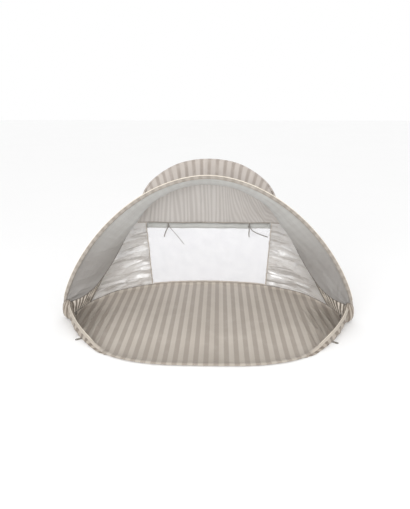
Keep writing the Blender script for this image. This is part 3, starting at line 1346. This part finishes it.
# ----------------------------------------------------------------------------
# Pouch of cloth round each end of the crossing line
# ----------------------------------------------------------------------------
def corner_patch(word, sign, around=120):
    stations = spline(POUCH, np.linspace(0, len(POUCH) - 1, 90))
    z, centre_x, centre_y, half_x, half_y = (stations[:, k:k + 1] for k in range(5))
    angle = np.arange(around)[None] * 2 * math.pi / around
    crease = 1 + smooth(z, 2, 20) * (
        .035 * ridge(angle * 2.2 + z / 90, z / 70, seed=151)
        + .020 * noise(angle * 7 + z / 40, z / 26, seed=152)
        + .018 * np.sin(angle * 13 + z / 30))
    rings = np.stack([sign * (centre_x + half_x * np.cos(angle) * crease),
                      centre_y + half_y * np.sin(angle) * crease,
                      np.repeat(z, around, 1)], -1)
    tips = [[sign * stations[k, 1], stations[k, 2], stations[k, 0] + rise]
            for k, rise in ((0, 0), (-1, 1.5))]
    faces = ring_faces(len(rings), around)
    if sign < 0:
        faces = [face[::-1] for face in faces]
    stripe = np.concatenate([((angle * 34 + .30 * z) / 27).ravel(), [.5, .5]])
    uv = np.concatenate([rings[..., 1:].reshape(-1, 2) / 1000, np.zeros((2, 2))])
    body = piece(np.vstack([rings.reshape(-1, 3), tips]), faces, stripe=stripe, uv=uv)
    # Two seams down the outer side.
    rows = []
    row_z = np.linspace(14, 116, 80)
    at = spline(POUCH, np.interp(row_z, POUCH[:, 0], np.arange(len(POUCH))))
    for turn in (-.55, .55):
        c, s = math.cos(turn), math.sin(turn)
        line = np.stack([sign * (at[:, 1] + (at[:, 3] + .9) * c),
                         at[:, 2] + (at[:, 4] + .9) * s, row_z], -1)
        up = np.tile([sign * c, s, 0.0], (80, 1))
        rows.append(stitches(line, up, 6.0, lift=.3))
    add("corner_patch_" + word, merge(body, *rows), [SKIRT, THREAD],
        "rear_floor")


corner_patch("right", 1)
corner_patch("left", -1)


# ----------------------------------------------------------------------------
# Peg loops: webbing tabs with a round hole, lying on the ground
# ----------------------------------------------------------------------------
def peg_loop(place, x, y, degrees):
    hole_x, hole_radius, half_width, inner_end = 29.0, 7.05, 11.0, -1.0
    around, rings = 120, 16
    angle = np.arange(around) * 2 * math.pi / around
    c, s = np.cos(angle), np.sin(angle)
    # Outline from the hole's centre: round at the outer end, square at the inner end.
    square = np.minimum(half_width / np.maximum(np.abs(s), 1e-9),
                        (hole_x - inner_end) / np.maximum(-c, 1e-9))
    outline = np.where(c < 0, square, half_width)
    share = np.linspace(0, 1, rings)[:, None]
    radius = hole_radius + (outline - hole_radius) * share
    local_x, local_y = hole_x + radius * c, radius * s
    edge = smooth(1 - share, 0, .12)
    ribs = .18 * np.sin(local_y * 2 * math.pi / 3.0)
    pad = .5 * bell(local_x - 7, 9)
    top = 1.9 + (ribs + pad) * edge - .5 * (1 - edge)
    bottom = np.broadcast_to(.15 + .4 * (1 - edge), top.shape)
    verts = np.concatenate([np.stack([local_x, local_y, z], -1).reshape(-1, 3)
                            for z in (top, bottom)])
    faces = []
    under, rim = rings * around, (rings - 1) * around
    for i in range(0, rim, around):
        for j in range(around):
            q = (j + 1) % around
            face = [i + j, i + around + j, i + around + q, i + q]
            faces += [face, [under + face[k] for k in (0, 3, 2, 1)]]
    for j in range(around):
        q = (j + 1) % around
        faces += [[j, q, under + q, under + j],
                  [rim + j, under + rim + j, under + rim + q, rim + q]]
    # Box of stitches with one diagonal, near the inner end.
    box = np.array([[2, -8], [14, -8], [14, 8], [2, 8], [2, -8], [14, 8]], float)
    rows = []
    for start, end in zip(box[:-1], box[1:]):
        line = np.full((20, 3), 2.15)
        line[:, :2] = start + (end - start) * np.linspace(0, 1, 20)[:, None]
        rows.append(stitches(line, np.tile([0, 0, 1.0], (20, 1)), 3.4, length=2.4, radius=.35))
    body = merge(piece(verts, faces, uv=verts[:, 1::-1] / 1000), *rows)
    c, s = math.cos(math.radians(degrees)), math.sin(math.radians(degrees))
    local = body["verts"]
    body["verts"] = np.stack([x + local[:, 0] * c - local[:, 1] * s,
                              y + local[:, 0] * s + local[:, 1] * c, local[:, 2]], -1)
    add("peg_loop_" + place, body, [WEBBING, THREAD], place + "_loop")


# Right-hand loops: x, y, direction in degrees. The left ones mirror them.
for end, x, y, degrees in (("front", 818.9, -318.3, -35.3), ("rear", 814.4, 420.8, 35.3)):
    peg_loop(end + "_right", x, y, degrees)
    peg_loop(end + "_left", -x, y, 180 - degrees)

# ----------------------------------------------------------------------------
# Dark seam lines inside
# ----------------------------------------------------------------------------
INSIDE = np.array([0, 100, 300.0])


def seam_frames(points):
    """Directions across a seam line: towards the inside of the shelter, and sideways."""
    tangent = unit(np.gradient(points, axis=0))
    inward = square_to(INSIDE - points, tangent)
    return inward, np.cross(tangent, inward)


def rear_arch_seam():
    t = np.linspace(.5, 27.5, 900)
    points = rear_seam(t)
    inward, side = seam_frames(points)
    radius = 2.5 - 1.6 * smooth(points[:, 2], 420, 700)
    cord = tube(points + inward * 1.0, inward, side, radius, radius, around=10,
                shape=lumps(t * 14, .15, seed=161))
    # Fin of cloth between the sleeve and the seam.
    hoop = spline(REAR_ARCH, t)
    reach = points - hoop
    out = unit(reach)
    fin = np.stack([hoop + out * 3.0 + reach * .15, hoop + reach * .6, points + out * .6], 1)
    fin = shell(fin, 1.6, np.repeat((t * 2.0)[:, None], 3, 1), slots=(1, 1, 1))
    add("rear_arch_seam", merge(cord, fin), [SEAM, RIM], "rear_arch", replaces=())


def floor_seam_cord():
    r = np.linspace(1.5, 22.5, 1100)
    points = floor_seam(r)
    inward, side = seam_frames(points)
    radius = .9 + 1.5 * smooth(np.abs(points[:, 0]), 380, 520)

    def shape(i, angle):
        return 1 + .35 * noise(r[i] * 26, angle, seed=162) + .2 * noise(r[i] * 60, angle, seed=163)

    body = tube(points + inward * 1.5, inward, side, radius, radius, around=10, shape=shape)
    add("floor_seam", body, [SEAM], "rear_floor", replaces=())


def gusset_seam(word, seam_t):
    v = np.linspace(.01, .99, 160)
    t = np.full_like(v, seam_t)
    points = wall(t, v, 1.2)
    body = tube(points, *seam_frames(points), 2.0, 2.6, around=10, weight=wall_weight(t, v))
    add("gusset_seam_" + word, body, [SEAM], WALL_BODIES, replaces=())


rear_arch_seam()
floor_seam_cord()
gusset_seam("right", GUSSET_T)
gusset_seam("left", T_END - GUSSET_T)

# ----------------------------------------------------------------------------
# CAD nodes that stay
# ----------------------------------------------------------------------------
KEPT = (
    (WIRE, ("front_arch_wire", "rear_floor_wire", "rear_arch_wire", "front_floor_wire")),
    (FERRULE, ("outer_hoop_ferrule", "inner_hoop_ferrule")),
    (EYELET, ("eyelet_front_left", "eyelet_front_right", "eyelet_rear_left",
              "eyelet_rear_right")))
for material, nodes in KEPT:
    for node in nodes:
        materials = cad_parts[node].data.materials
        materials.clear()
        materials.append(material)


# ----------------------------------------------------------------------------
# Stage, light and camera, in metres
# ----------------------------------------------------------------------------
def stage_floor(half=30.0, z=-.0006):
    g = Shader("stage_floor")
    colour = g.mix(g.noise(g.object_place(), scale=.6), (.95, .95, .95, 1), (.97, .97, .97, 1))
    material = g.surface(colour, rough=.9, specular=.1)
    mesh = bpy.data.meshes.new("stage_floor")
    corners = [(-half, -half, z), (half, -half, z), (half, half, z), (-half, half, z)]
    mesh.from_pydata(corners, [], [[0, 1, 2, 3]])
    mesh.materials.append(material)
    ob = bpy.data.objects.new("stage_floor", mesh)
    bpy.context.scene.collection.objects.link(ob)


def white_world():
    world = bpy.data.worlds.new("studio")
    bpy.context.scene.world = world
    world.use_nodes = True
    background = world.node_tree.nodes["Background"]
    background.inputs["Color"].default_value = (1, 1, 1, 1)
    background.inputs["Strength"].default_value = 1.0


def disk_light(name, position, target, size, power):
    light = bpy.data.lights.new(name, "AREA")
    light.shape = "DISK"
    light.size = size
    light.energy = power
    ob = bpy.data.objects.new(name, light)
    ob.location = position
    ob.rotation_mode = "QUATERNION"
    ob.rotation_quaternion = (Vector(target) - Vector(position)).to_track_quat("-Z", "Y")
    bpy.context.scene.collection.objects.link(ob)


def add_camera():
    data = bpy.data.cameras.new("camera")
    data.lens = 34.44
    data.sensor_width = 36
    data.clip_end = 200
    camera = bpy.data.objects.new("camera", data)
    right = Vector((.99960, .02831, 0))
    forward = Vector((-.02692, .95068, -.30902))
    down = Vector((.00875, -.30889, -.95106))
    pose = Matrix.Identity(4)
    for i in range(3):
        pose[i][0], pose[i][1], pose[i][2] = right[i], -down[i], -forward[i]
    pose.translation = Vector((.074, -3.16, 1.51))
    camera.matrix_world = pose
    bpy.context.scene.collection.objects.link(camera)
    bpy.context.scene.camera = camera


stage_floor()
white_world()
disk_light("key", position=(-1.35, -4.3, 1.25), target=(0, .3, .45), size=2.2, power=88)
disk_light("fill", position=(2.2, -3.6, .9), target=(0, .4, .4), size=1.6, power=31)
add_camera()
bpy.context.scene.view_settings.view_transform = "Standard"
bpy.context.scene.view_settings.look = "None"
